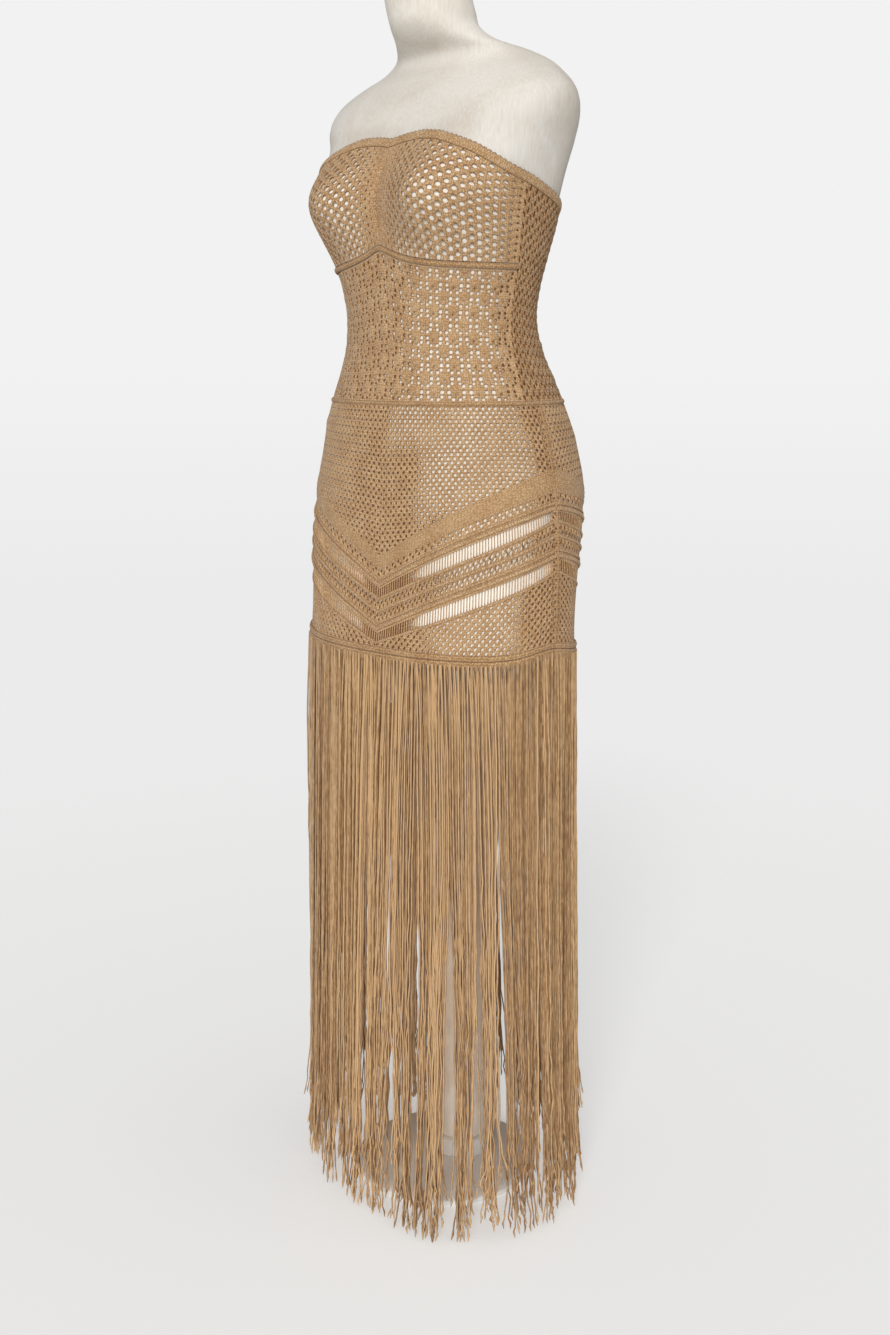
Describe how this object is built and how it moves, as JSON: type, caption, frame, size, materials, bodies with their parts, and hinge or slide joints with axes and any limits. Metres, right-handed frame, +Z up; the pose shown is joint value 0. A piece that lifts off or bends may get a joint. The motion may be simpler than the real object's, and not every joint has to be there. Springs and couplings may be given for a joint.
{
  "type": "maxi dress on a dress form",
  "caption": "Strapless close-fitting crochet maxi dress with chevron lace bands and a skirt of long fringe, worn by a limbless linen dress form on a column with a round base.",
  "frame": {"origin": "centre of the base's underside, on the floor under the form", "axes": "+Z up; the dress faces -Y; the wearer's left is +X"},
  "size_m": [0.3663, 0.2924, 1.385],
  "materials": {
    "crochet_cotton": "matte",
    "fringe_yarn": "matte",
    "cream_linen": "matte",
    "white_paint": "satin"
  },
  "bodies": {
    "root": {"top_edging_front": "crochet_cotton", "top_edging_back": "crochet_cotton", "cup_right": "crochet_cotton", "cup_left": "crochet_cotton", "underbust_band": "crochet_cotton", "midriff_front": "crochet_cotton", "bodice_back": "crochet_cotton", "waist_seam_front": "crochet_cotton", "waist_seam_back": "crochet_cotton", "hip_mesh_front": "crochet_cotton", "hip_mesh_back": "crochet_cotton", "dense_band_front": "crochet_cotton", "dense_band_back": "crochet_cotton", "lattice_band_front": "crochet_cotton", "lattice_band_back": "crochet_cotton", "ladder_upper_front": "crochet_cotton", "ladder_upper_back": "crochet_cotton", "lace_rows_front": "crochet_cotton", "lace_rows_back": "crochet_cotton", "ladder_lower_front": "crochet_cotton", "ladder_lower_back": "crochet_cotton", "hem_yoke_front": "crochet_cotton", "hem_yoke_back": "crochet_cotton", "hem_band_front": "crochet_cotton", "hem_band_back": "crochet_cotton", "fringe_front": "fringe_yarn", "fringe_back": "fringe_yarn", "dress_form": "cream_linen", "stand_column": "cream_linen", "stand_collar": "white_paint", "stand_base": "white_paint"}
  },
  "joints": []
}
